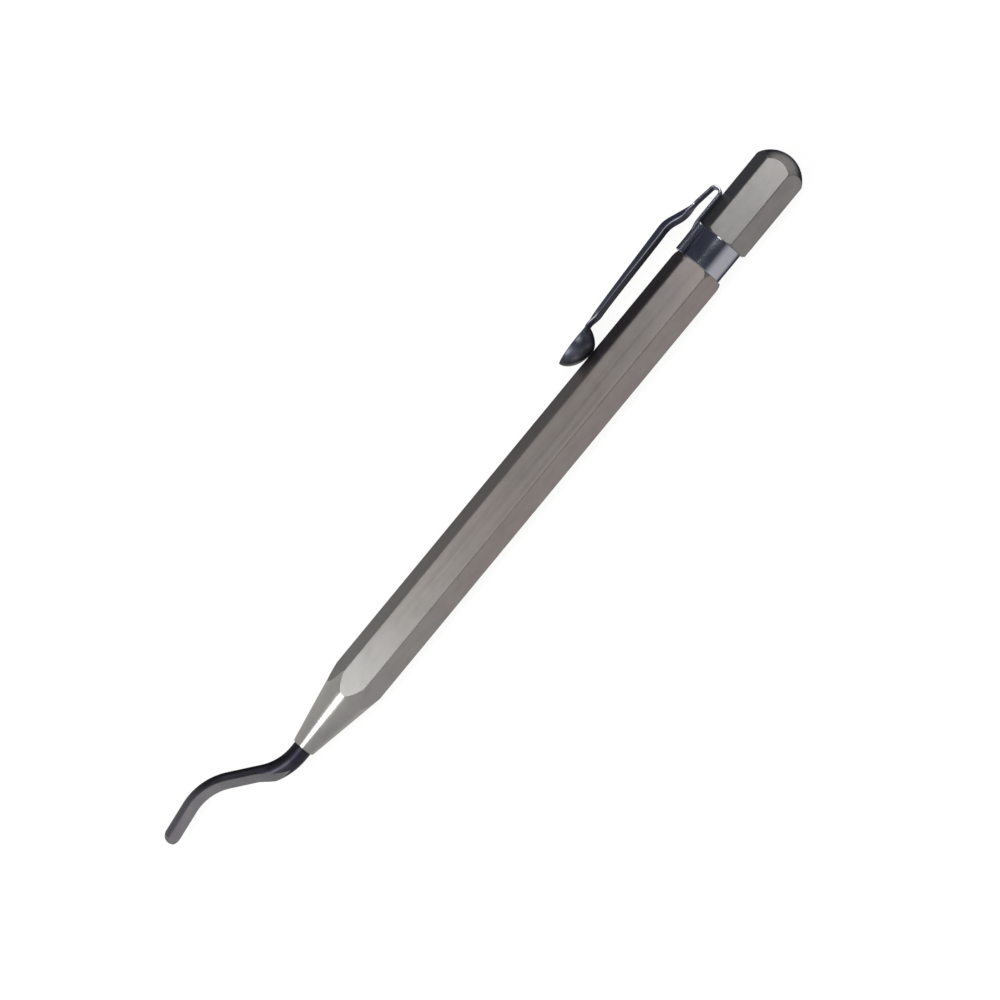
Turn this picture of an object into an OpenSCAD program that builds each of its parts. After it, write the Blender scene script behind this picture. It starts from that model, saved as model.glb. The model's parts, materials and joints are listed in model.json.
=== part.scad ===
// Pen-style swivel deburring tool: a hexagonal aluminium handle with a pocket clip,
// and an S-shaped steel blade that turns freely in its nose.
// The handle lies along X with the blade at -X, and rests on one of its flats at Z = 0.

/* [Handle] */
// Width of the hexagon across its flats
hex_af = 7.94; // [7.5:0.01:8.3]
// Radius that breaks the hexagon's six long corners
corner_r = 0.4; // [0.2:0.05:0.8]
// Length of the barrel from the nose to its rear shoulder
barrel_len = 98.4; // [85:0.2:120]
// Length of the cone turned on the nose
cone_len = 13.8; // [11:0.2:18]
// Radius of the nose face, where the blade comes out
nose_r = 1.95; // [1.9:0.05:2.4]
// Length of the rounded chamfer on the barrel's rear end
shoulder_len = 1.4; // [1:0.1:3]
// Reach of the rounded corners at the barrel's rear face
shoulder_r = 4.2; // [3.9:0.05:4.25]

/* [End plug] */
// Length of the neck that carries the clip's band
neck_len = 5.5; // [5:0.1:8]
// Radius of the neck
neck_r = 3.35; // [3.2:0.05:3.5]
// Length of the hexagonal head, dome included
head_len = 17; // [12:0.2:20]
// Radius of the ball-turned dome
dome_r = 5; // [4.9:0.1:8]
// Length of the spigot pressed into the barrel
spigot_len = 9; // [6:0.5:14]

/* [Blade] */
// Radius of the blade's rod
rod_r = 1.6; // [1.58:0.01:1.6]
// Length of shank held in the handle
shank_len = 21; // [20:0.5:24]
// Straight length between the nose and the first bend
lead_len = 1.2; // [1:0.1:4]
// Radius of the first bend, on the rod's centre line
bend1_r = 10.2; // [6:0.2:12]
// Angle that the first bend turns away from the handle
bend1_deg = 37.8; // [25:0.2:50]
// Straight length between the bends
slope_len = 5.8; // [3:0.1:9]
// Radius of the second bend, on the rod's centre line
bend2_r = 9.6; // [8:0.2:14]
// Angle that the second bend turns back
bend2_deg = 45.6; // [30:0.2:60]
// Straight cutting length after the second bend
cut_len = 5; // [3:0.1:9]
// Distance from the rod's centre to the ground cutting edge
edge_r = 1.05; // [1:0.05:1.4]
// Angle between each ground flat's normal and the direction that the edge faces
grind_deg = 40; // [34:1:46]

/* [Pocket clip] */
// Thickness of the clip's spring steel
sheet_t = 0.45; // [0.35:0.05:0.5]
// Width of the tongue that folds over at the clip's rear
tongue_w = 2.6; // [2:0.1:3]
// Width of the clip's arm
arm_w = 4.4; // [3:0.1:5]
// How far the arm's edges are rolled down towards the barrel, in front
crown = 0.65; // [0:0.05:0.9]
// And at the bend near its rear
bend_crown = 1; // [0.6:0.05:1.3]
// Depth of the bowl at its tip
bowl_depth = 2.75; // [2.2:0.05:3]
// Width of the bowl
bowl_w = 5.2; // [4.4:0.1:6]
// Angle that the clip's arm can be lifted
flex_deg = 5; // [3:0.5:6]

/* [Cartridge] */
// Radius of the long bore drilled from the barrel's rear
bore_r = 2.8; // [2.7:0.05:2.9]
// Length of the bearing sleeve
sleeve_len = 16; // [14:0.5:17]
// Radius of the retaining ring's wire
wire_r = 0.3; // [0.25:0.01:0.32]

/* [Hidden] */

fit = 0.01;                                 // radial gap of a pressed fit
run = 0.02;                                 // radial gap of a running fit
gap = 0.05;                                 // gap between pieces that only sit side by side
axis_h = hex_af / 2;                        // height of the long axis above the surface
corner_reach = (hex_af / 2 - corner_r) / cos(30) + corner_r;
nose_x = -barrel_len / 2;
shoulder_x = barrel_len / 2;
head_x = shoulder_x + neck_len;
end_x = head_x + head_len;
nose_edge = 0.1;                            // chamfer round the nose face
nose_bore_r = rod_r + 0.05;
nose_bore_len = 9;
sleeve_x = nose_x + nose_bore_len;
sleeve_end_x = sleeve_x + sleeve_len;
shank_x = nose_x + shank_len;
groove_x = shank_x - 5;                     // the shank's snap groove and its ring
groove_r = rod_r - 0.4;
groove_w = 0.9;
ball_r = 1.5;
ball_x = shank_x + run + ball_r;
seat_x = ball_x + 2 * ball_r * cos(45) + run; // apex of the thrust plug's 45 degree seat
plug_len = 5;
bent_r = rod_r - 0.01;                      // the rod draws in a little where it is bent
blade_sides = 32;
ring_mid = bore_r - 0.5;                    // radius of the retaining ring's curved side
chord_mid = groove_r + wire_r + gap;        // distance of its straight side from the axis

// The clip: its band, the fold behind it, and the arm that runs forward.
band_in_r = neck_r + run;
band_out_r = band_in_r + sheet_t;
band_x = shoulder_x + gap;
band_len = neck_len - 2 * gap;
ridge_w = tongue_w + 0.3;                   // the ridge along the band that the tongue grows from
ridge_mid = corner_reach - 0.05;
tongue_mid = corner_reach + gap + sheet_t / 2;
fold_r = 0.81;                              // radius of the fold, at mid thickness
fold_x = head_x + 5.2;
fold_y = tongue_mid + fold_r;
flex_gap_deg = flex_deg + 2;                // arc left open in the fold, so that it can turn
bowl_x = shoulder_x - 20.9;                 // the spot where the bowl presses on the barrel
bowl_front = 4.55;                          // how far the bowl reaches in front of that spot
bowl_rear = 2.6;                            // and behind it
rim_y = corner_reach + gap + sheet_t / 2 + bowl_depth;
rim_slope = 0.04;                           // the rim rises a little towards the rear
fold_top = fold_y + fold_r;
tongue_path = [[head_x - 3, ridge_mid], [head_x - 1.6, ridge_mid],
               [head_x - 0.4, tongue_mid], [fold_x, tongue_mid]];
arm_path = [[fold_x, fold_top],
            [shoulder_x + 6.9, fold_top + 0.55],
            [shoulder_x + 2, fold_top + 2.53],
            [shoulder_x - 10.4, fold_top + 1.97],
            [shoulder_x - 16, fold_top + 1.68],
            [bowl_x + bowl_rear, rim_y + rim_slope * bowl_rear]];

// ---- helpers -------------------------------------------------------------

// Puts a shape built along +Z onto the handle's axis, starting at x.
module on_axis(x) {
    translate([x, 0, axis_h]) rotate([0, 90, 0]) children();
}

// A turned solid from an outline of [x, radius] points.
module turned(outline) {
    on_axis(0) rotate_extrude($fn = 96) polygon([for (p = outline) [p[1], p[0]]]);
}

// Points on a circle of radius r about c, from angle a0 to a1.
function arc(c, r, a0, a1, n = 8) =
    [for (i = [0:n]) let (a = a0 + (a1 - a0) * i / n) c + r * [cos(a), sin(a)]];

// The hexagon with rounded corners: flats face up and down, corners face +Y and -Y.
function hex_outline() =
    [for (i = [0:5]) let (a = 60 * i + 30, d = (hex_af / 2 - corner_r) / cos(30))
        each arc(d * [cos(a), sin(a)], corner_r, a - 30, a + 30, 4)];

// The cutter of a round groove that starts at x and is cut down to radius r.
module groove(x, width, r) {
    on_axis(x) difference() {
        cylinder(r = bore_r + 1, h = width, $fn = 64);
        translate([0, 0, -1]) cylinder(r = r, h = width + 2, $fn = 64);
    }
}

module hex_bar(x, len) {
    on_axis(x) linear_extrude(len) polygon(hex_outline());
}

// A path with each inner corner replaced by a smooth curve that starts and ends d away from it.
function softened(path, d, n = 6) = [
    path[0],
    for (i = [1:len(path) - 2])
        let (p = path[i],
             a = p + d * (path[i - 1] - p) / norm(path[i - 1] - p),
             b = p + d * (path[i + 1] - p) / norm(path[i + 1] - p))
        for (k = [0:n]) let (t = k / n)
            (1 - t) * (1 - t) * a + 2 * t * (1 - t) * p + t * t * b,
    path[len(path) - 1]];

function heading(path, i) =
    let (d = path[min(i + 1, len(path) - 1)] - path[max(i - 1, 0)]) d / norm(d);

// The same path with points no more than step apart.
function resampled(path, step) = [
    for (i = [0:len(path) - 2])
        let (n = ceil(norm(path[i + 1] - path[i]) / step))
        for (k = [0:n - 1]) path[i] + (path[i + 1] - path[i]) * k / n,
    path[len(path) - 1]];

// Rises smoothly from 0 to 1 as x goes from a to b.
function rise(x, a, b) = let (t = min(1, max(0, (x - a) / (b - a)))) t * t * (3 - 2 * t);

function beside(path, s) =
    [for (i = [0:len(path) - 1]) let (h = heading(path, i)) path[i] + s * [-h[1], h[0]]];

// The outline of a strip of thickness t along a path.
function strip(path, t) =
    let (left = beside(path, t / 2), right = beside(path, -t / 2), n = len(path) - 1)
    concat(left, [for (i = [0:n]) right[n - i]]);

// Extrudes an outline in the XY plane to a width that is centred on the axis height.
module across(width) {
    translate([0, 0, axis_h - width / 2]) linear_extrude(width) children();
}

// ---- handle --------------------------------------------------------------

module barrel() {
    outside = hex_af;                        // any radius outside the hexagon
    slope = (corner_reach - nose_r) / cone_len;
    cone_out = cone_len + (outside - corner_reach) / slope;
    drop = corner_reach - shoulder_r;
    curve_r = (shoulder_len * shoulder_len + drop * drop) / (2 * drop);
    curve = arc([shoulder_x - shoulder_len, corner_reach - curve_r], curve_r,
                90, 90 - asin(shoulder_len / curve_r), 6);
    color("darkgray") difference() {
        intersection() {
            hex_bar(nose_x, barrel_len);
            turned([[nose_x, 0], [nose_x, nose_r - nose_edge], [nose_x + nose_edge, nose_r],
                    [nose_x + cone_out, outside], [shoulder_x - shoulder_len, outside],
                    each curve, [shoulder_x, 0]]);
        }
        on_axis(nose_x - 1) cylinder(r = nose_bore_r, h = nose_bore_len + 2, $fn = 48);
        on_axis(sleeve_x) cylinder(r = bore_r, h = barrel_len, $fn = 64);
    }
}

module end_plug() {
    half = asin(corner_reach / dome_r);
    dome = arc([end_x - dome_r, 0], dome_r, half + 4, 0, 10); // starts outside the hexagon
    front_edge = 0.35;
    spigot_r = bore_r - fit;
    spigot_x = shoulder_x - spigot_len;
    lead_in = 0.4;
    color("silver") {
        intersection() {
            hex_bar(head_x, head_len);
            turned([[head_x, 0], [head_x, corner_reach - front_edge],
                    [head_x + front_edge, corner_reach], [head_x + front_edge, hex_af],
                    [dome[0][0], hex_af], each dome]);
        }
        difference() {
            turned([[spigot_x, 0], [spigot_x, spigot_r - lead_in],
                    [spigot_x + lead_in, spigot_r], [shoulder_x, spigot_r],
                    [shoulder_x, neck_r], [head_x + 1, neck_r], [head_x + 1, 0]]);
            for (x = [2.5, 5.5]) groove(shoulder_x - x, 0.8, spigot_r - 0.3);
        }
    }
}

// ---- clip ----------------------------------------------------------------

module clip_band() {
    inner_w = ridge_w - 2 * sheet_t;
    color("dimgray") {
        on_axis(band_x) linear_extrude(band_len) difference() {
            union() {
                circle(r = band_out_r, $fn = 72);
                translate([-ridge_w / 2, 0]) square([ridge_w, ridge_mid + sheet_t / 2]);
            }
            circle(r = band_in_r, $fn = 72);
            translate([-inner_w / 2, 0]) square([inner_w, ridge_mid - sheet_t / 2]);
        }
        // The tongue, which steps up from the ridge and runs back over the head's corner.
        across(tongue_w) polygon(strip(softened(tongue_path, 0.5, 4), sheet_t));
        fold(-90, -flex_gap_deg / 2);
    }
}

// Part of the fold behind the band, from angle a0 to a1 about the fold's centre.
module fold(a0, a1) {
    translate([fold_x, fold_y, axis_h]) rotate([0, 0, a0])
        rotate_extrude(angle = a1 - a0, $fn = 48)
            translate([fold_r - sheet_t / 2, -tongue_w / 2]) square([sheet_t, tongue_w]);
}

// Half the width of the arm and its bowl at x.
function arm_half(x) =
    let (neck_x = bowl_x + bowl_rear,
         strip = tongue_w / 2 + (arm_w - tongue_w) / 2 * (1 - rise(x, shoulder_x + 5.4, shoulder_x + 7.2)),
         necked = strip - 0.3 * (1 - rise(x, neck_x, neck_x + 3)),
         d = (x - bowl_x + 0.8) / (x < bowl_x - 0.8 ? bowl_front - 0.8 : bowl_rear + 0.8),
         oval = bowl_w / 2 * sqrt(max(0, 1 - d * d)))
    x > bowl_x ? max(oval, necked) : oval;

// How far the arm's edges are rolled down at x: not at all beside the bowl and near the fold.
function arm_crown(x) =
    (crown + (bend_crown - crown) * rise(x, shoulder_x - 16, shoulder_x + 2))
        * rise(x, bowl_x + bowl_rear, bowl_x + bowl_rear + 2.6)
        * (1 - rise(x, shoulder_x + 3.8, shoulder_x + 8));

// Depth of the bowl's keel at x, as a share of its greatest depth: blunter in front than behind.
function keel(x) =
    let (d = x - bowl_x, u = d / (d < 0 ? bowl_front : bowl_rear))
    pow(max(0, 1 - u * u), d < 0 ? 0.6 : 0.8);

// Depth of the bowl across its width, as a share of the keel's: steep walls and a broad floor.
function trough(v) = sqrt(1 - pow(abs(v), 3));

// A point of the arm's mid surface above the path point p, at v = -1 to 1 across the arm.
function arm_point(p, v) =
    [p[0], p[1] - arm_crown(p[0]) * v * v - bowl_depth * keel(p[0]) * trough(v),
     axis_h + arm_half(p[0]) * v];

// A closed sheet of thickness t over a grid of mid-surface points.
module sheet(grid, t) {
    rows = len(grid);
    cols = len(grid[0]);
    normal = function(i, k)
        let (along = grid[min(i + 1, rows - 1)][k] - grid[max(i - 1, 0)][k],
             beside = grid[i][min(k + 1, cols - 1)] - grid[i][max(k - 1, 0)],
             n = cross(along, beside)) n / norm(n);
    n = 2 * cols;
    polyhedron(
        points = [for (i = [0:rows - 1]) each concat(
            [for (k = [0:cols - 1]) grid[i][k] + normal(i, k) * t / 2],
            [for (k = [cols - 1:-1:0]) grid[i][k] - normal(i, k) * t / 2])],
        faces = [
            for (i = [0:rows - 2], k = [0:n - 1]) let (j = (k + 1) % n, a = i * n, b = a + n)
                each [[a + k, b + j, b + k], [a + k, a + j, b + j]],
            for (k = [0:cols - 2], end = [0, rows - 1]) let (a = end * n, u = a + k, w = a + n - 1 - k)
                each end == 0 ? [[u, w, u + 1], [u + 1, w, w - 1]] : [[u, u + 1, w], [u + 1, w - 1, w]]]);
}

module clip_arm() {
    bend = arc([fold_x, fold_y], fold_r, flex_gap_deg / 2, 90, 10);
    arm = resampled(softened(arm_path, 1.1, 4), 1);
    bowl = concat([for (k = [1:6]) bowl_rear * (1 - k / 6)],
                  [for (k = [1:10]) -bowl_front * sin(84 * k / 10)]);
    path = concat([for (k = [0:9]) bend[k]], arm,
                  [for (d = bowl) [bowl_x + d, rim_y + rim_slope * d]]);
    color("dimgray") sheet([for (p = path) [for (k = [0:8]) arm_point(p, sin(22.5 * k - 90))]], sheet_t);
}

// ---- blade ---------------------------------------------------------------

// Walks along legs of [length, turn, steps] and returns the [point, direction] of each station.
function walk(legs, p, dir, leg = 0, k = 0) =
    leg == len(legs) ? [[p, dir]] :
    k == legs[leg][2] ? walk(legs, p, dir, leg + 1, 0) :
    let (turn = legs[leg][1] / legs[leg][2], d = legs[leg][0] / legs[leg][2], a = dir + turn / 2)
    concat([[p, dir]], walk(legs, p + d * [cos(a), sin(a)], dir + turn, leg, k + 1));

// Radius of the blade's section at angle a, where two ground flats stand h from the centre.
function ground_radius(a, r, h) =
    min([r, for (flat = [-1, 1]) let (c = cos(a - 180 - grind_deg * flat)) c > 0.1 ? h / c : r]);

// One ring of the blade: at a station, scaled, with its flats h from the centre.
function blade_ring(station, size, h) =
    let (p = station[0], dir = station[1], across = [-sin(dir), cos(dir)])
    [for (i = [0:blade_sides - 1])
        let (a = 360 * i / blade_sides, r = size * ground_radius(a, bent_r, h),
             q = p - r * cos(a) * across)
        [q[0], q[1], axis_h + r * sin(a)]];

// Closes rings of n points each into a solid.
module swept(rings, n) {
    last = len(rings) - 1;
    polyhedron(
        points = [for (ring = rings) each ring],
        faces = [
            [for (i = [n - 1:-1:0]) i],
            for (k = [0:last - 1], i = [0:n - 1]) let (j = (i + 1) % n, a = k * n, b = a + n)
                each [[a + i, b + j, b + i], [a + i, a + j, b + j]],
            [for (i = [0:n - 1]) last * n + i]]);
}

module blade() {
    bend1_len = bend1_r * bend1_deg * PI / 180;
    bend2_len = bend2_r * bend2_deg * PI / 180;
    root = [nose_x - lead_len + 1, 0];
    body = walk([[1, 0, 1], [bend1_len, -bend1_deg, 8], [slope_len, 0, 5],
                 [bend2_len, bend2_deg, 12], [cut_len, 0, 3]], root, 180);
    end = body[len(body) - 1];
    full_h = edge_r * cos(grind_deg);
    flat_h = [for (i = [0:len(body) - 1])                    // the grinding runs out in the first bend
        let (t = min(1, max(0, (i - 4) / 6))) bent_r + (full_h - bent_r) * t];
    tip = [for (k = [1:5]) let (a = 17 * k)
        [[end[0] + bent_r * sin(a) * [cos(end[1]), sin(end[1])], end[1]], cos(a)]];
    color("dimgray") {
        difference() {
            turned([[shank_x, 0], [shank_x, rod_r - 0.4], [shank_x - 0.4, rod_r],
                    [nose_x - lead_len, rod_r], [nose_x - lead_len, 0]]);
            groove(groove_x - groove_w / 2, groove_w, groove_r);
        }
        swept([for (i = [0:len(body) - 1]) blade_ring(body[i], 1, flat_h[i]),
               for (t = tip) blade_ring(t[0], t[1], full_h)], blade_sides);
    }
}

// ---- cartridge inside the nose -------------------------------------------

module bearing_sleeve() {
    room = wire_r + gap;                     // half the width of the ring's groove
    color("goldenrod") difference() {
        on_axis(sleeve_x) cylinder(r = bore_r - fit, h = sleeve_len, $fn = 64);
        on_axis(sleeve_x - 1) cylinder(r = rod_r + run, h = sleeve_len + 2, $fn = 48);
        groove(groove_x - room, 2 * room, ring_mid - room);
        // The slot that lets the ring's straight side reach the shank.
        translate([groove_x - room, -bore_r, axis_h + chord_mid - room])
            cube([2 * room, 2 * bore_r, 2 * bore_r]);
    }
}

module retaining_ring() {
    open_deg = 24;                           // the gap in the ring, opposite its straight side
    reach_deg = acos(chord_mid / ring_mid);
    half = 180 - open_deg / 2 - reach_deg;
    chord = 2 * ring_mid * sin(reach_deg);
    color("gray") {
        for (side = [-1, 1])
            on_axis(groove_x) rotate([0, 0, side > 0 ? open_deg / 2 : -open_deg / 2 - half])
                rotate_extrude(angle = half, $fn = 64) translate([ring_mid, 0]) circle(r = wire_r, $fn = 24);
        translate([groove_x, -chord / 2, axis_h + chord_mid]) rotate([-90, 0, 0])
            cylinder(r = wire_r * 0.98, h = chord, $fn = 24);
    }
}

module thrust_ball() {
    color("lightgray") translate([ball_x, 0, axis_h]) sphere(r = ball_r, $fn = 48);
}

module thrust_plug() {
    r = bore_r - fit;
    boss_x = ball_x + 0.9;
    boss_r = rod_r - 0.1;
    front = sleeve_end_x + gap;
    end = front + plug_len;
    lead_in = 0.4;
    color("khaki") difference() {
        turned([[boss_x, 0], [boss_x, boss_r], [front, boss_r], [front, r],
                [end - lead_in, r], [end, r - lead_in], [end, 0]]);
        turned([[boss_x - 1, 0], [boss_x - 1, seat_x - boss_x + 1], [seat_x, 0]]);
        for (x = [1.4, 2.8]) groove(front + x, 0.6, r - 0.25);
    }
}

barrel();
end_plug();
clip_band();
clip_arm();
blade();
bearing_sleeve();
retaining_ring();
thrust_ball();
thrust_plug();
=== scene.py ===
import json
from math import acos, asin, ceil, cos, degrees, pi, radians, sin, sqrt

import bmesh
import bpy
from mathutils import Matrix, Vector

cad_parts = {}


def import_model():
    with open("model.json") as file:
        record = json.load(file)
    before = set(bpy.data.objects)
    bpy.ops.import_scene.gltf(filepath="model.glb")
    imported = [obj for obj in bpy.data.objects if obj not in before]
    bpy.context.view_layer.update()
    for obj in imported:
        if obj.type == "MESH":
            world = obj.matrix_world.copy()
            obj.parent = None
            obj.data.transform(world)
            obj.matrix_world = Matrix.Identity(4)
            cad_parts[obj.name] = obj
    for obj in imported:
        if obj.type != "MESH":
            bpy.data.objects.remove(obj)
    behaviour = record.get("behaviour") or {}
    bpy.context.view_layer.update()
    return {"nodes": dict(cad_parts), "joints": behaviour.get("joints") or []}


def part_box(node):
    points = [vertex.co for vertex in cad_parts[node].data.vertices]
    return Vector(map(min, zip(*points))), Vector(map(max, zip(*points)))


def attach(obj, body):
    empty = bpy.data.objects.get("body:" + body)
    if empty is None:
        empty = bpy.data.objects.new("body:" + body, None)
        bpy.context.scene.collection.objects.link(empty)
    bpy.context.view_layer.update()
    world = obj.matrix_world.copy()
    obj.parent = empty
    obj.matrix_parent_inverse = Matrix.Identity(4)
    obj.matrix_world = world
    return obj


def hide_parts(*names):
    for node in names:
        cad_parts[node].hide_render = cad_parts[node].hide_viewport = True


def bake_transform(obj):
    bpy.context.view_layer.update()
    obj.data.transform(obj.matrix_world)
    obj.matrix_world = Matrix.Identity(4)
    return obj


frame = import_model()

MM = 0.001
nodes = frame["nodes"]
joints = {joint["name"]: joint for joint in frame["joints"]}

# ---- Places, from the frame -------------------------------------------------------------------

barrel_lo, barrel_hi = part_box("barrel")
band_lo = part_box("clip_band")[0]
blade_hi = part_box("blade")[1]
NOSE_X = barrel_lo.x
SHOULDER_X = barrel_hi.x
AXIS_Z = (barrel_lo.z + barrel_hi.z) / 2
CORNER = barrel_hi.y                          # reach of the hexagon's rounded corners
FOLD = Vector(joints["clip_flex"]["pos_m"])

SHEET = 0.45 * MM                             # the clip's spring steel
GAP = 0.05 * MM
FOLD_R = FOLD.y - CORNER - GAP - SHEET / 2    # radius of the clip's fold, at mid thickness
FOLD_TOP = FOLD.y + FOLD_R
RIDGE_Y = CORNER - GAP                        # mid thickness of the band's ridge
TONGUE_HALF = 1.3 * MM
ARM_HALF = 2.2 * MM
CROWN = 0.65 * MM                             # how far the arm's edges are rolled down, in front
BEND_CROWN = 1.00 * MM                        # and at the bend near its rear
BAND_X = band_lo.x
HEAD_X = SHOULDER_X + 5.5 * MM
BAND_LEN = HEAD_X - BAND_X - GAP
BOWL_X = SHOULDER_X - 20.9 * MM               # where the bowl presses on the barrel
BOWL_FRONT = 4.55 * MM                        # how far it reaches in front of that spot
BOWL_REAR = 2.6 * MM                          # and behind it
BOWL_HALF = 2.6 * MM
BOWL_DEPTH = 2.75 * MM
RIM_SLOPE = 0.04
RIM_Y = CORNER + GAP + SHEET / 2 + BOWL_DEPTH
NECK_X = BOWL_X + BOWL_REAR
HARD_EDGE = 35                                # degrees between faces, from which an edge stays sharp


# ---- Mesh helpers -----------------------------------------------------------------------------

def add_object(name, mesh):
    piece = bpy.data.objects.new(name, mesh)
    bpy.context.scene.collection.objects.link(piece)
    return piece


def smooth_by_angle(mesh, limit):
    """Smooth faces, with edges sharper than limit degrees kept hard."""
    form = bmesh.new()
    form.from_mesh(mesh)
    for face in form.faces:
        face.smooth = True
    for edge in form.edges:
        edge.smooth = edge.calc_face_angle(0) < radians(limit)
    form.to_mesh(mesh)
    form.free()


def mesh_piece(name, points, faces, limit=HARD_EDGE):
    mesh = bpy.data.meshes.new(name)
    mesh.from_pydata([tuple(p) for p in points], [], faces)
    form = bmesh.new()
    form.from_mesh(mesh)
    bmesh.ops.recalc_face_normals(form, faces=form.faces)
    form.to_mesh(mesh)
    form.free()
    smooth_by_angle(mesh, limit)
    return add_object(name, mesh)


def apply_modifiers(piece):
    """Replaces a piece's mesh by what its modifiers make of it."""
    depsgraph = bpy.context.evaluated_depsgraph_get()
    mesh = bpy.data.meshes.new_from_object(piece.evaluated_get(depsgraph))
    piece.modifiers.clear()
    piece.data = mesh
    smooth_by_angle(mesh, HARD_EDGE)


def ring_faces(count, rings):
    """Quads between rings of count points each, and an end cap on both sides."""
    quads = []
    for k in range(rings - 1):
        a, b = k * count, (k + 1) * count
        for i in range(count):
            j = (i + 1) % count
            quads.append((a + i, a + j, b + j, b + i))
    first = tuple(reversed(range(count)))
    last = tuple((rings - 1) * count + i for i in range(count))
    return quads + [first, last]


def softened(path, reach, steps=8):
    """A 2-D path whose inner corners become curves that start and end reach away from them."""
    points = [Vector(path[0])]
    for before, corner, after in zip(path, path[1:], path[2:]):
        before, corner, after = Vector(before), Vector(corner), Vector(after)
        a = corner + reach * (before - corner).normalized()
        b = corner + reach * (after - corner).normalized()
        for k in range(steps + 1):
            t = k / steps
            points.append((1 - t) ** 2 * a + 2 * t * (1 - t) * corner + t * t * b)
    points.append(Vector(path[-1]))
    return points


def resampled(path, step):
    """The same path with points step apart."""
    points = [path[0]]
    for a, b in zip(path, path[1:]):
        count = max(1, ceil((b - a).length / step))
        points += [a.lerp(b, (k + 1) / count) for k in range(count)]
    return points


def smoothstep(low, high, value):
    t = min(1.0, max(0.0, (value - low) / (high - low)))
    return t * t * (3 - 2 * t)


# ---- Material helpers -------------------------------------------------------------------------

class Shading:
    """A material with a Principled shader, and short calls that add nodes to it."""

    def __init__(self, name, **sockets):
        self.material = bpy.data.materials.new(name)
        self.material.use_nodes = True
        self.tree = self.material.node_tree
        self.shader = self.tree.nodes["Principled BSDF"]
        for socket, value in sockets.items():
            self.shader.inputs[socket.replace("_", " ")].default_value = value
        self.place = self.add("ShaderNodeTexCoord").outputs["Object"]

    def add(self, kind, **settings):
        made = self.tree.nodes.new(kind)
        for key, value in settings.items():
            setattr(made, key, value)
        return made

    def link(self, source, target):
        self.tree.links.new(source, target)

    def scaled(self, scale):
        mapping = self.add("ShaderNodeMapping")
        mapping.inputs["Scale"].default_value = scale
        self.link(self.place, mapping.inputs["Vector"])
        return mapping.outputs["Vector"]

    def noise(self, scale, detail=4, rough=0.6, stretch=(1, 1, 1)):
        made = self.add("ShaderNodeTexNoise")
        made.inputs["Scale"].default_value = scale
        made.inputs["Detail"].default_value = detail
        made.inputs["Roughness"].default_value = rough
        self.link(self.scaled(stretch), made.inputs["Vector"])
        return made.outputs["Fac"]

    def ramp(self, source, *stops):
        """A colour ramp: stops are (position, colour or grey value)."""
        made = self.add("ShaderNodeValToRGB")
        elements = made.color_ramp.elements
        while len(elements) < len(stops):
            elements.new(0.5)
        for element, (position, colour) in zip(elements, stops):
            element.position = position
            element.color = (*colour, 1) if isinstance(colour, tuple) else (colour,) * 3 + (1,)
        self.link(source, made.inputs["Fac"])
        return made.outputs["Color"]

    def math(self, operation, a, b=None):
        made = self.add("ShaderNodeMath", operation=operation)
        for socket, value in zip(made.inputs, (a, b)):
            if value is None:
                continue
            if isinstance(value, (int, float)):
                socket.default_value = value
            else:
                self.link(value, socket)
        return made.outputs["Value"]

    def rescale(self, source, from_low, from_high, to_low, to_high):
        made = self.add("ShaderNodeMapRange")
        for socket, value in zip(("From Min", "From Max", "To Min", "To Max"),
                                 (from_low, from_high, to_low, to_high)):
            made.inputs[socket].default_value = value
        self.link(source, made.inputs["Value"])
        return made.outputs["Result"]

    def mix(self, factor, a, b, blend="MIX"):
        made = self.add("ShaderNodeMix", data_type="RGBA", blend_type=blend)
        for socket, value in ((made.inputs[0], factor), (made.inputs[6], a), (made.inputs[7], b)):
            if isinstance(value, (int, float)):
                socket.default_value = value
            elif isinstance(value, tuple):
                socket.default_value = (*value, 1)
            else:
                self.link(value, socket)
        return made.outputs[2]

    def bump(self, height, distance, strength=1.0, normal=None):
        made = self.add("ShaderNodeBump")
        made.inputs["Strength"].default_value = strength
        made.inputs["Distance"].default_value = distance
        self.link(height, made.inputs["Height"])
        if normal:
            self.link(normal, made.inputs["Normal"])
        return made.outputs["Normal"]

    def split(self, source):
        made = self.add("ShaderNodeSeparateXYZ")
        self.link(source, made.inputs["Vector"])
        return made.outputs

    def set(self, socket, source):
        self.link(source, self.shader.inputs[socket])


# ---- Materials --------------------------------------------------------------------------------

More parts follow.
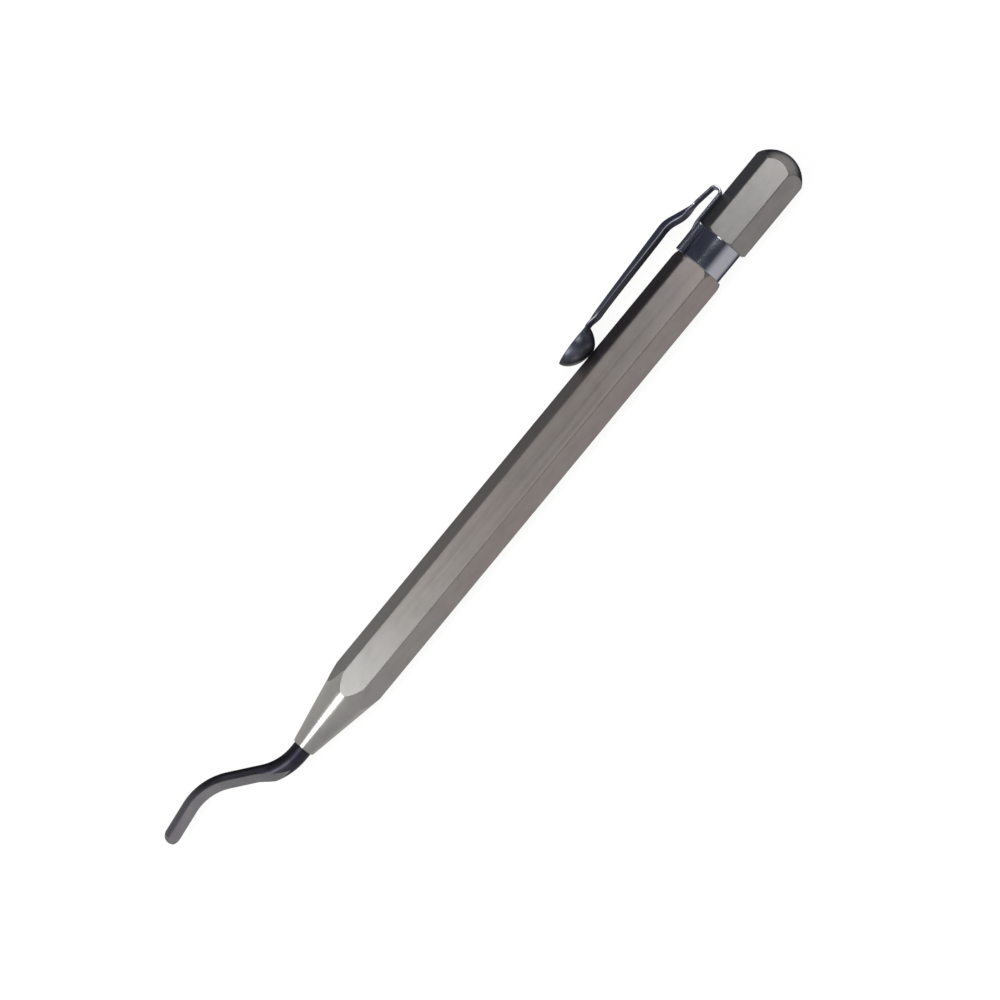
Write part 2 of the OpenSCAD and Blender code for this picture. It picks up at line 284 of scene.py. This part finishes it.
def satin_aluminium(name, hold, painted_shade_factor):
    """Drawn hexagonal bar, clear anodised: faint lengthwise lines, and turned rings on its ends.

    Its colour is warmer by a share that rises from 0 near the nose to hold further back, and
    the last argument scales the whole piece's colour: a factor below 1 is painted shade.
    """
    look = Shading(name, Metallic=1.0)
    place = look.split(look.place)
    normal = look.split(look.add("ShaderNodeNewGeometry").outputs["Normal"])
    turned = look.rescale(look.math("ABSOLUTE", normal["X"]), 0.05, 0.12, 0.0, 1.0)

    drawn = look.noise(900, 3, 0.7, (0.012, 1, 1))
    rings = look.noise(2600, 2, 0.5, (1, 0.01, 0.01))
    grain = look.mix(turned, drawn, rings)
    speckle = look.noise(2400, 5, 0.7)
    mottle = look.noise(420, 5, 0.7, (0.7, 1, 1))
    patches = look.noise(90, 4, 0.65, (0.6, 1, 1))

    cool, warm = (look.ramp(patches, (0.32, tint[0]), (0.50, tint[1]), (0.68, tint[2]))
                  for tint in (COOL, WARM))
    colour = look.mix(look.rescale(place["X"], -32 * MM, -4 * MM, 0.0, hold), cool, warm)
    # random mottle, times the factor that paints shade over the whole piece
    mottle_and_painted_shade = look.rescale(mottle, 0.3, 0.7, 0.90 * painted_shade_factor, 1.06 * painted_shade_factor)
    streaks = look.rescale(grain, 0.25, 0.75, 0.95, 1.04)
    shade = look.math("MULTIPLY", mottle_and_painted_shade, streaks)
    colour = look.mix(1.0, colour, look.ramp(shade, (0.0, 0.0), (1.0, 1.0)), "MULTIPLY")
    look.set("Base Color", colour)
    drawn_rough = look.rescale(grain, 0.3, 0.7, 0.31, 0.39)
    turned_rough = look.rescale(grain, 0.3, 0.7, 0.20, 0.27)
    look.set("Roughness", look.mix(turned, drawn_rough, turned_rough))
    fine = look.bump(speckle, 0.004 * MM, 0.6)
    look.set("Normal", look.bump(grain, 0.010 * MM, 0.6, fine))
    return look.material


def plated_steel():
    """Nickel-plated spring steel: nearly a mirror, with faint handling haze."""
    look = Shading("plated_steel", Metallic=1.0, Base_Color=(0.60, 0.61, 0.68, 1))
    haze = look.noise(300, 5, 0.65)
    rolled = look.noise(1500, 2, 0.6, (0.03, 1, 1))
    look.set("Roughness", look.rescale(haze, 0.3, 0.75, 0.12, 0.22))
    look.set("Normal", look.bump(rolled, 0.001 * MM, 0.4, look.bump(haze, 0.001 * MM, 0.4)))
    return look.material


def painted_shade_steel():
    """The clip's inner side: rougher than the outer side, with a dark colour that is painted shade."""
    look = Shading("painted_shade_steel", Metallic=1.0)
    haze = look.noise(240, 5, 0.65)
    rolled = look.noise(1300, 3, 0.6, (0.03, 1, 1))
    look.set("Base Color", look.ramp(haze, (0.30, (0.070, 0.074, 0.098)),
                                     (0.72, (0.140, 0.144, 0.178))))
    look.set("Roughness", look.rescale(rolled, 0.3, 0.7, 0.30, 0.42))
    look.set("Normal", look.bump(rolled, 0.002 * MM, 0.5))
    return look.material


def dark_steel():
    """The blade's blue-black hardened skin, worn paler towards the tip."""
    look = Shading("dark_steel", Metallic=1.0)
    bloom = look.noise(260, 5, 0.65)
    streaks = look.noise(1400, 3, 0.6, (0.05, 1, 1))
    skin = look.ramp(bloom, (0.30, (0.030, 0.030, 0.045)), (0.55, (0.055, 0.053, 0.070)),
                     (0.78, (0.090, 0.085, 0.100)))
    along = look.split(look.place)["X"]
    worn = look.rescale(along, -53 * MM, -68 * MM, 0.0, 0.75)
    look.set("Base Color", look.mix(worn, skin, (0.17, 0.165, 0.185)))
    look.set("Roughness", look.rescale(streaks, 0.3, 0.7, 0.32, 0.44))
    look.set("Normal", look.bump(bloom, 0.004 * MM, 0.4))
    return look.material


def ground_steel():
    """The blade's ground flats, with the wheel's marks across them."""
    look = Shading("ground_steel", Metallic=1.0)
    marks = look.noise(2600, 3, 0.6, (1, 0.04, 0.04))
    stain = look.noise(240, 4, 0.6)
    look.set("Base Color", look.ramp(stain, (0.30, (0.27, 0.262, 0.280)),
                                     (0.70, (0.38, 0.370, 0.390))))
    look.set("Roughness", look.rescale(marks, 0.3, 0.7, 0.32, 0.46))
    look.set("Normal", look.bump(marks, 0.003 * MM, 0.6))
    return look.material


def turned_metal(name, colour, roughness):
    """Small inner pieces: turned along X, with rings and a little tarnish."""
    look = Shading(name, Metallic=1.0)
    rings = look.noise(2400, 2, 0.5, (1, 0.02, 0.02))
    tarnish = look.noise(420, 4, 0.6)
    dark = tuple(0.72 * c for c in colour)
    look.set("Base Color", look.ramp(tarnish, (0.3, dark), (0.65, colour)))
    look.set("Roughness", look.rescale(tarnish, 0.3, 0.7, roughness + 0.1, roughness))
    look.set("Normal", look.bump(rings, 0.006 * MM, 0.6))
    return look.material


def floor_surface():
    look = Shading("pale_floor", Roughness=0.9)
    look.shader.inputs["Emission Color"].default_value = (1.0, 1.0, 0.995, 1)
    look.shader.inputs["Emission Strength"].default_value = 0.90
    look.set("Base Color", look.ramp(look.noise(6, 3), (0.4, 0.19), (0.6, 0.21)))
    return look.material


# ---- Handle -----------------------------------------------------------------------------------

WARM = ((0.405, 0.355, 0.325), (0.435, 0.390, 0.365), (0.400, 0.362, 0.350))
COOL = ((0.395, 0.388, 0.365), (0.430, 0.422, 0.405), (0.405, 0.402, 0.385))


def dress_handle():
    """The barrel and the end plug keep their CAD shapes."""
    # the end plug's 0.87 darkens its colour as painted shade
    for node, hold, painted_shade_factor in (("barrel", 1.0, 1.0), ("end_plug", 0.15, 0.87)):
        nodes[node].data.materials.clear()
        nodes[node].data.materials.append(satin_aluminium(node + "_aluminium", hold, painted_shade_factor))


def dress_cartridge():
    bronze = turned_metal("bronze", (0.62, 0.45, 0.22), 0.30)
    wire = turned_metal("spring_wire", (0.40, 0.40, 0.42), 0.28)
    ball = turned_metal("bearing_ball", (0.72, 0.72, 0.74), 0.08)
    for node, material in (("bearing_sleeve", bronze), ("thrust_plug", bronze),
                           ("retaining_ring", wire), ("thrust_ball", ball)):
        nodes[node].data.materials.clear()
        nodes[node].data.materials.append(material)


# ---- Clip -------------------------------------------------------------------------------------

def strip_section(half_width, thickness, edge):
    """The closed cross-section of a strip, as (along the normal, across) pairs with round edges."""
    points = []
    for side in (1, -1):
        centre = side * (half_width - edge)
        turn = 90 if side > 0 else 270
        half = thickness / 2 - edge
        for quarter in (0, 1):
            sign = 1 if (quarter == 0) == (side > 0) else -1
            for k in range(4):
                angle = radians(turn - 90 + 90 * quarter + 30 * k)
                points.append((sign * half + edge * cos(angle), centre + edge * sin(angle)))
        for k in range(1, 8):                      # across the broad face
            t = k / 8
            points.append((-side * thickness / 2, side * (half_width - edge) * (1 - 2 * t)))
    return points


def band_outline():
    """The band's outline at mid thickness, seen along X: a ring with a ridge on its +Y side."""
    neck_reach = 3.37 * MM
    ridge_room = 0.15 * MM                        # how far the ridge reaches past the tongue
    corner = 0.30 * MM                            # radius of the ridge's corners
    steps = 84
    ring_r = neck_reach + SHEET / 2
    ridge_half = TONGUE_HALF + ridge_room - SHEET / 2
    foot = asin(ridge_half / ring_r)
    points = []
    for k in range(steps + 1):
        angle = foot + (2 * pi - 2 * foot) * k / steps
        points.append(Vector((ring_r * cos(angle), ring_r * sin(angle))))
    for side in (-1, 1):
        for k in range(7):
            angle = radians(15 * k if side > 0 else 90 - 15 * k)
            y = RIDGE_Y - corner + corner * sin(angle)
            z = side * (ridge_half - corner + corner * cos(angle))
            points.append(Vector((y, z)))
    return points


def clip_band():
    """The band round the neck, its ridge, and the tongue that steps up over the head's corner."""
    outline = band_outline()
    rim = 0.16 * MM                               # rows close to both rims keep the bevels narrow
    stations = [BAND_X + d for d in (0, rim, BAND_LEN / 2, BAND_LEN - rim, BAND_LEN)]
    points = [Vector((x, y, AXIS_Z + z)) for x in stations for y, z in outline]
    count = len(outline)
    faces = [face for face in ring_faces(count, len(stations)) if len(face) == 4]
    ring = mesh_piece("band_ring", points, faces)
    ring.modifiers.new("thickness", "SOLIDIFY").thickness = SHEET
    ring.modifiers["thickness"].offset = 0
    ring.modifiers["thickness"].use_even_offset = True
    edges = ring.modifiers.new("edges", "BEVEL")
    edges.width = 0.07 * MM
    edges.segments = 3
    edges.angle_limit = radians(50)
    apply_modifiers(ring)

    root_y = RIDGE_Y - 0.01 * MM                  # just under the ridge's own surface
    tongue_y = FOLD.y - FOLD_R
    corners = [(HEAD_X - 3 * MM, root_y), (HEAD_X - 1.6 * MM, root_y),
               (HEAD_X - 0.4 * MM, tongue_y), (FOLD.x, tongue_y)]
    path = resampled(softened(corners, 0.5 * MM), 0.15 * MM)
    tongue = swept_strip("tongue", path, TONGUE_HALF)

    form = bmesh.new()
    for part in (ring, tongue):
        form.from_mesh(part.data)
        bpy.data.objects.remove(part)
    mesh = bpy.data.meshes.new("clip_band_formed")
    form.to_mesh(mesh)
    form.free()
    smooth_by_angle(mesh, HARD_EDGE)
    return add_object("clip_band_formed", mesh)


def swept_strip(name, path, half_width):
    """A strip of the clip's sheet along a path in the XY plane."""
    section = strip_section(half_width, SHEET, 0.10 * MM)
    points = []
    for i, here in enumerate(path):
        step = path[min(i + 1, len(path) - 1)] - path[max(i - 1, 0)]
        out = Vector((-step.y, step.x)).normalized()
        for along, across in section:
            point = here + along * out
            points.append(Vector((point.x, point.y, AXIS_Z + across)))
    return mesh_piece(name, points, ring_faces(len(section), len(path)))


def arm_path():
    """The clip's middle line: round the fold, forward over the bend, and along the bowl's rim."""
    fold = [Vector((FOLD.x + FOLD_R * cos(radians(a)), FOLD.y + FOLD_R * sin(radians(a))))
            for a in range(-90, 90, 5)]
    arm = softened([(FOLD.x, FOLD_TOP),
                    (SHOULDER_X + 6.9 * MM, FOLD_TOP + 0.55 * MM),
                    (SHOULDER_X + 2.0 * MM, FOLD_TOP + 2.53 * MM),
                    (SHOULDER_X - 10.4 * MM, FOLD_TOP + 1.97 * MM),
                    (SHOULDER_X - 16.0 * MM, FOLD_TOP + 1.68 * MM),
                    (NECK_X, RIM_Y + RIM_SLOPE * BOWL_REAR)], 1.1 * MM, 12)
    bowl = [BOWL_REAR * cos(radians(90 * k / 24)) for k in range(1, 25)]
    bowl += [-BOWL_FRONT * sin(radians(84 * k / 40)) for k in range(1, 41)]
    rim = [Vector((BOWL_X + d, RIM_Y + RIM_SLOPE * d)) for d in bowl]
    return fold + resampled(arm, 0.3 * MM) + rim


def arm_half_width(x):
    """Half the clip's width at x: narrow at the fold, wider along the arm, widest at the bowl."""
    strip = ARM_HALF + (TONGUE_HALF - ARM_HALF) * smoothstep(SHOULDER_X + 5.4 * MM,
                                                             SHOULDER_X + 7.2 * MM, x)
    necked = strip - 0.3 * MM * (1 - smoothstep(NECK_X, NECK_X + 3 * MM, x))
    ahead = 0.8 * MM                              # the bowl is widest in front of its contact
    middle = BOWL_X - ahead
    reach = BOWL_FRONT - ahead if x < middle else BOWL_REAR + ahead
    oval = BOWL_HALF * sqrt(max(0.0, 1 - ((x - middle) / reach) ** 2))
    return max(oval, necked) if x > BOWL_X else oval


def arm_crown(x):
    """How far the arm's edges are rolled down: not at all beside the bowl and near the fold."""
    most = CROWN + (BEND_CROWN - CROWN) * smoothstep(SHOULDER_X - 16 * MM, SHOULDER_X + 2 * MM, x)
    return (most * smoothstep(NECK_X, NECK_X + 2.6 * MM, x)
            * (1 - smoothstep(SHOULDER_X + 3.8 * MM, SHOULDER_X + 8 * MM, x)))


def keel(x):
    """Depth of the bowl's keel, as a share of its greatest depth: blunter in front than behind."""
    reach, power = (BOWL_FRONT, 0.6) if x < BOWL_X else (BOWL_REAR, 0.8)
    return max(0.0, 1 - ((x - BOWL_X) / reach) ** 2) ** power


def trough(v):
    """Depth of the bowl across its width: steep walls and a broad floor."""
    return sqrt(max(0.0, 1 - abs(v) ** 3))


def clip_grid(path):
    """Rows of points across the clip's middle surface, one row for each point of the path."""
    across = 28                                   # steps in a row
    grid = []
    for here in path:
        half = arm_half_width(here.x) - 0.02 * MM
        row = []
        for k in range(across + 1):
            w = 2 * k / across - 1
            v = w * (1.5 - 0.5 * w * w)               # closer together towards the edges
            sink = arm_crown(here.x) * v * v + BOWL_DEPTH * keel(here.x) * trough(v)
            row.append(Vector((here.x, here.y - sink, AXIS_Z + half * v)))
        grid.append(row)
    return grid


def rounded_sheet(name, grid):
    """A closed sheet over a grid of points, with rounded edges along its sides and at its ends."""
    rows, cols = len(grid), len(grid[0])
    bulge = 0.11 * MM                             # how far the edges stand out past the grid
    fullness = 0.6                                # 1 is an elliptical edge, and less is squarer
    turns = [radians(a) for a in (25, 50, 90, 130, 155)]
    points, count = [], 2 * cols + 2 * len(turns)

    def add_ring(i, forward, thin):
        ahead = (grid[min(i + 1, rows - 1)][cols // 2] - grid[max(i - 1, 0)][cols // 2]).normalized()
        ring = []
        for k in range(cols):
            along = grid[min(i + 1, rows - 1)][k] - grid[max(i - 1, 0)][k]
            beside = grid[i][min(k + 1, cols - 1)] - grid[i][max(k - 1, 0)]
            ring.append((grid[i][k] + ahead * forward, along.cross(beside).normalized(),
                         beside.normalized()))
        half = SHEET / 2 * thin
        points.extend(place + normal * half for place, normal, _ in ring)
        for (place, normal, beside), side in ((ring[-1], 1), (ring[0], -1)):
            for turn in turns:
                level = 0 if turn == pi / 2 else abs(cos(turn)) ** fullness
                up = level if turn < pi / 2 else -level
                out = bulge * thin * sin(turn) ** fullness
                points.append(place + normal * side * half * up + beside * side * out)
            if side > 0:
                points.extend(p - n * half for p, n, _ in reversed(ring))

    for i in range(rows):
        add_ring(i, 0, 1)
    for turn in (20, 45, 70, 85):
        add_ring(rows - 1, bulge * sin(radians(turn)), cos(radians(turn)) ** fullness)
    rings = len(points) // count
    piece = mesh_piece(name, points, ring_faces(count, rings), 50)
    # faces on the inner side take the second material, whose dark colour is painted shade
    inner = range(cols + 2, 2 * cols + len(turns) + 2)
    for polygon in piece.data.polygons:
        if polygon.index < count * (rings - 1) and polygon.index % count in inner:
            polygon.material_index = 1
    return piece


def clip_spring():
    """The fold, the arm and the pressed bowl, as one formed sheet."""
    return rounded_sheet("clip_spring_formed", clip_grid(arm_path()))


# ---- Blade ------------------------------------------------------------------------------------

ROD_R = blade_hi.z - AXIS_Z
SHANK_OUT = 1.2 * MM                          # straight length that shows in front of the nose
BEND_1 = (10.2 * MM, 37.8)                    # radius, and angle that it turns, in degrees
SLOPE = 5.8 * MM                              # straight length between the bends
BEND_2 = (9.6 * MM, 45.6)
CUT = 5.0 * MM                                # straight cutting length
GRIND = 40                                    # degrees between a flat's normal and the edge's facing
EDGE_H = 1.05 * MM * cos(radians(GRIND))      # distance of the ground flats from the rod's centre
RUN_IN = (3.7 * MM, 9.3 * MM)                 # from the nose, where the flats start and are full depth
LEAST = 1.5                                   # narrowest arc of the section, in degrees
ARCS = (60, 16, 4, 4, 16)                     # faces on the round side, a flat, its rest, and mirrored


def blade_stations():
    """(point, direction in degrees, distance) along the blade, from the shank's end to the tip."""
    legs = [(blade_hi.x - NOSE_X + SHANK_OUT, 0, 60),
            (BEND_1[0] * radians(BEND_1[1]), -BEND_1[1], 40), (SLOPE, 0, 30),
            (BEND_2[0] * radians(BEND_2[1]), BEND_2[1], 60), (CUT, 0, 30)]
    here, angle, travelled = Vector((blade_hi.x, 0)), 180.0, 0.0
    stations = [(here, angle, 0.0)]
    for length, turn, steps in legs:
        for k in range(steps):
            heading = radians(angle + turn / steps / 2)
            here = here + length / steps * Vector((cos(heading), sin(heading)))
            angle += turn / steps
            travelled += length / steps
            stations.append((here, angle, travelled))
    return stations


def section_angles(flat):
    """Angles round the blade's section, with one on each edge of its two ground flats."""
    half = max(LEAST, degrees(acos(flat / ROD_R)))          # half the arc that each flat cuts away
    outer, inner = 180 - GRIND - half, min(180 - LEAST, 180 - GRIND + half)
    edges = (-outer, outer, inner, 180, 360 - inner, 360 - outer)
    angles = []
    for low, high, count in zip(edges, edges[1:], ARCS):
        angles += [low + (high - low) * k / count for k in range(count)]
    return angles


def section_radius(angle, flat):
    radius = ROD_R
    for side in (-1, 1):
        facing = cos(radians(angle - 180 - GRIND * side))
        if facing > 0.1:
            radius = min(radius, flat / facing)
    return radius


def blade():
    """The S-shaped blade: round where it is held, ground to an edge along its inner side."""
    stations = blade_stations()
    held = blade_hi.x - NOSE_X
    groove_at, groove_half = blade_hi.x - (NOSE_X + 16 * MM), 0.45 * MM
    groove_size, chamfer_len = 0.75, 0.4 * MM     # the groove's share of the radius, and the end's
    tip_r = 1.55 * MM
    points, count = [], sum(ARCS)

    def add_ring(here, angle, size, flat):
        side = Vector((-sin(radians(angle)), cos(radians(angle))))
        for a in section_angles(flat):
            r = size * section_radius(a, flat)
            point = here - r * cos(radians(a)) * side
            points.append(Vector((point.x, point.y, AXIS_Z + r * sin(radians(a)))))

    flats = []
    for here, angle, travelled in stations:
        run = smoothstep(held + RUN_IN[0], held + RUN_IN[1], travelled)
        flat = ROD_R + (EDGE_H - ROD_R) * run
        flats.append(flat)
        chamfer = min(1.0, groove_size + (1 - groove_size) * travelled / chamfer_len)
        in_groove = abs(travelled - groove_at) < groove_half
        add_ring(here, angle, groove_size if in_groove else chamfer, flat)
    here, angle, _ = stations[-1]
    ahead = Vector((cos(radians(angle)), sin(radians(angle))))
    for k in range(1, 12):
        a = radians(90 * k / 12)
        add_ring(here + ahead * tip_r * sin(a), angle, cos(a) ** 0.8, EDGE_H)
    rings = len(points) // count
    piece = mesh_piece("blade_ground", points, ring_faces(count, rings), 24)

    piece.data.materials.append(dark_steel())
    piece.data.materials.append(ground_steel())
    tip_ring = len(stations) + 2
    rest = range(ARCS[0] + ARCS[1], ARCS[0] + ARCS[1] + ARCS[2] + ARCS[3])
    met = ROD_R * cos(radians(GRIND - LEAST))     # the two flats meet once they are this close in
    for polygon in piece.data.polygons:
        ring, around = divmod(polygon.index, count)
        flat = flats[min(ring, len(flats) - 1)]
        ground = flat < (met if around in rest else ROD_R) and around >= ARCS[0]
        held_end = ring == rings - 1 and around == 0
        polygon.material_index = 1 if (ground or ring >= tip_ring) and not held_end else 0
    return piece


# ---- Building ---------------------------------------------------------------------------------

dress_handle()
dress_cartridge()

nickel = plated_steel()
band = clip_band()
band.data.materials.append(nickel)
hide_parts("clip_band")
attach(band, "handle")

spring = clip_spring()
spring.data.materials.append(nickel)
# the inner side's material: its dark colour is painted shade
spring.data.materials.append(painted_shade_steel())
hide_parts("clip_arm")
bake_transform(spring)

cutter = blade()
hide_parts("blade")
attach(cutter, "swivel_blade")


# ---- Stage ------------------------------------------------------------------------------------

def softbox(name, place, size, power):
    """A white rectangular light that faces the origin."""
    light = bpy.data.lights.new(name, "AREA")
    light.shape = "RECTANGLE"
    light.size, light.size_y = size
    light.energy = power
    lamp = bpy.data.objects.new(name, light)
    bpy.context.scene.collection.objects.link(lamp)
    lamp.location = place
    lamp.rotation_mode = "QUATERNION"
    lamp.rotation_quaternion = (-Vector(place)).to_track_quat("-Z", "Y")


def floor():
    """A pale sheet just under the tool, left out of its reflections."""
    size = 3.0
    mesh = bpy.data.meshes.new("floor")
    mesh.from_pydata([(-size, -size, 0), (size, -size, 0), (size, size, 0), (-size, size, 0)], [],
                     [(0, 1, 2, 3)])
    mesh.materials.append(floor_surface())
    plane = add_object("floor", mesh)
    plane.location.z = -0.02 * MM
    plane.visible_glossy = False
    plane.visible_shadow = False


def camera():
    """Looks down on the tool, a little from its front, with the handle rising to the upper right."""
    distance = 500 * MM
    side_lean, end_lean, slant = radians(8), radians(3), radians(50.48)
    aim = Vector((1.04 * MM, 0.89 * MM, AXIS_Z + 0.1 * MM))
    back = Vector((sin(end_lean), -cos(end_lean) * sin(side_lean), cos(end_lean) * cos(side_lean)))
    along = (Vector((1, 0, 0)) - back * back.x).normalized()
    beside = back.cross(along)
    right = cos(slant) * along - sin(slant) * beside
    up = sin(slant) * along + cos(slant) * beside
    data = bpy.data.cameras.new("camera")
    data.sensor_width = 36
    image_width, pixels_per_metre = 1000, 6330.0
    data.lens = data.sensor_width * pixels_per_metre * distance / image_width
    data.clip_start, data.clip_end = 0.01, 20
    eye = bpy.data.objects.new("camera", data)
    bpy.context.scene.collection.objects.link(eye)
    eye.matrix_world = Matrix.Translation(aim + back * distance) @ Matrix(
        (right, up, back)).transposed().to_4x4()
    bpy.context.scene.camera = eye


def world():
    """Light grey towards the blade, dimmer straight past its tip, and nearly black behind.

    The dark part has three brighter patches: straight past that end, over the clip, and on the
    side away from the clip.
    """
    sky = bpy.data.worlds.new("studio")
    bpy.context.scene.world = sky
    sky.use_nodes = True
    tree = sky.node_tree
    parts = tree.nodes.new("ShaderNodeSeparateXYZ")
    tree.links.new(tree.nodes.new("ShaderNodeTexCoord").outputs["Generated"], parts.inputs["Vector"])

    def step(axis, full, none):
        """1 where the direction's axis is at full or past it, falling smoothly to 0 at none."""
        made = tree.nodes.new("ShaderNodeMapRange")
        made.interpolation_type = "SMOOTHSTEP"
        for socket, value in (("From Min", full), ("From Max", none),
                              ("To Min", 1.0), ("To Max", 0.0)):
            made.inputs[socket].default_value = value
        tree.links.new(parts.outputs[axis], made.inputs["Value"])
        return made.outputs["Result"]

    def mix(factor, a, b):
        made = tree.nodes.new("ShaderNodeMix")
        made.data_type = "RGBA"
        tree.links.new(factor, made.inputs[0])
        for socket, value in ((made.inputs[6], a), (made.inputs[7], b)):
            if isinstance(value, tuple):
                socket.default_value = (*value, 1)
            else:
                tree.links.new(value, socket)
        return made.outputs[2]

    front = mix(step("X", -0.75, -0.35), (0.70, 0.69, 0.68), (0.42, 0.42, 0.42))
    behind = mix(step("X", -0.30, 0.03), (0.035, 0.040, 0.058), front)
    past_end = mix(step("X", 0.95, 0.60), behind, (0.52, 0.52, 0.53))
    over_clip = mix(step("Z", 0.35, 0.0), past_end, (0.85, 0.85, 0.86))
    over_clip = mix(step("Y", 0.60, 0.10), past_end, over_clip)
    over_clip = mix(step("X", 0.60, 0.18), past_end, over_clip)
    bright = mix(step("Y", -0.95, -0.50), over_clip, (0.56, 0.545, 0.55))
    tree.links.new(bright, tree.nodes["Background"].inputs["Color"])


bpy.context.scene.view_settings.view_transform = "Standard"
camera()
floor()
world()
softbox("front", (-0.150, 0.035, 0.26), (0.10, 0.12), 0.20)
softbox("streak", (-0.186, 0.068, 0.25), (0.07, 0.09), 0.032)
softbox("rear", (0.150, 0.035, 0.26), (0.10, 0.12), 0.135)
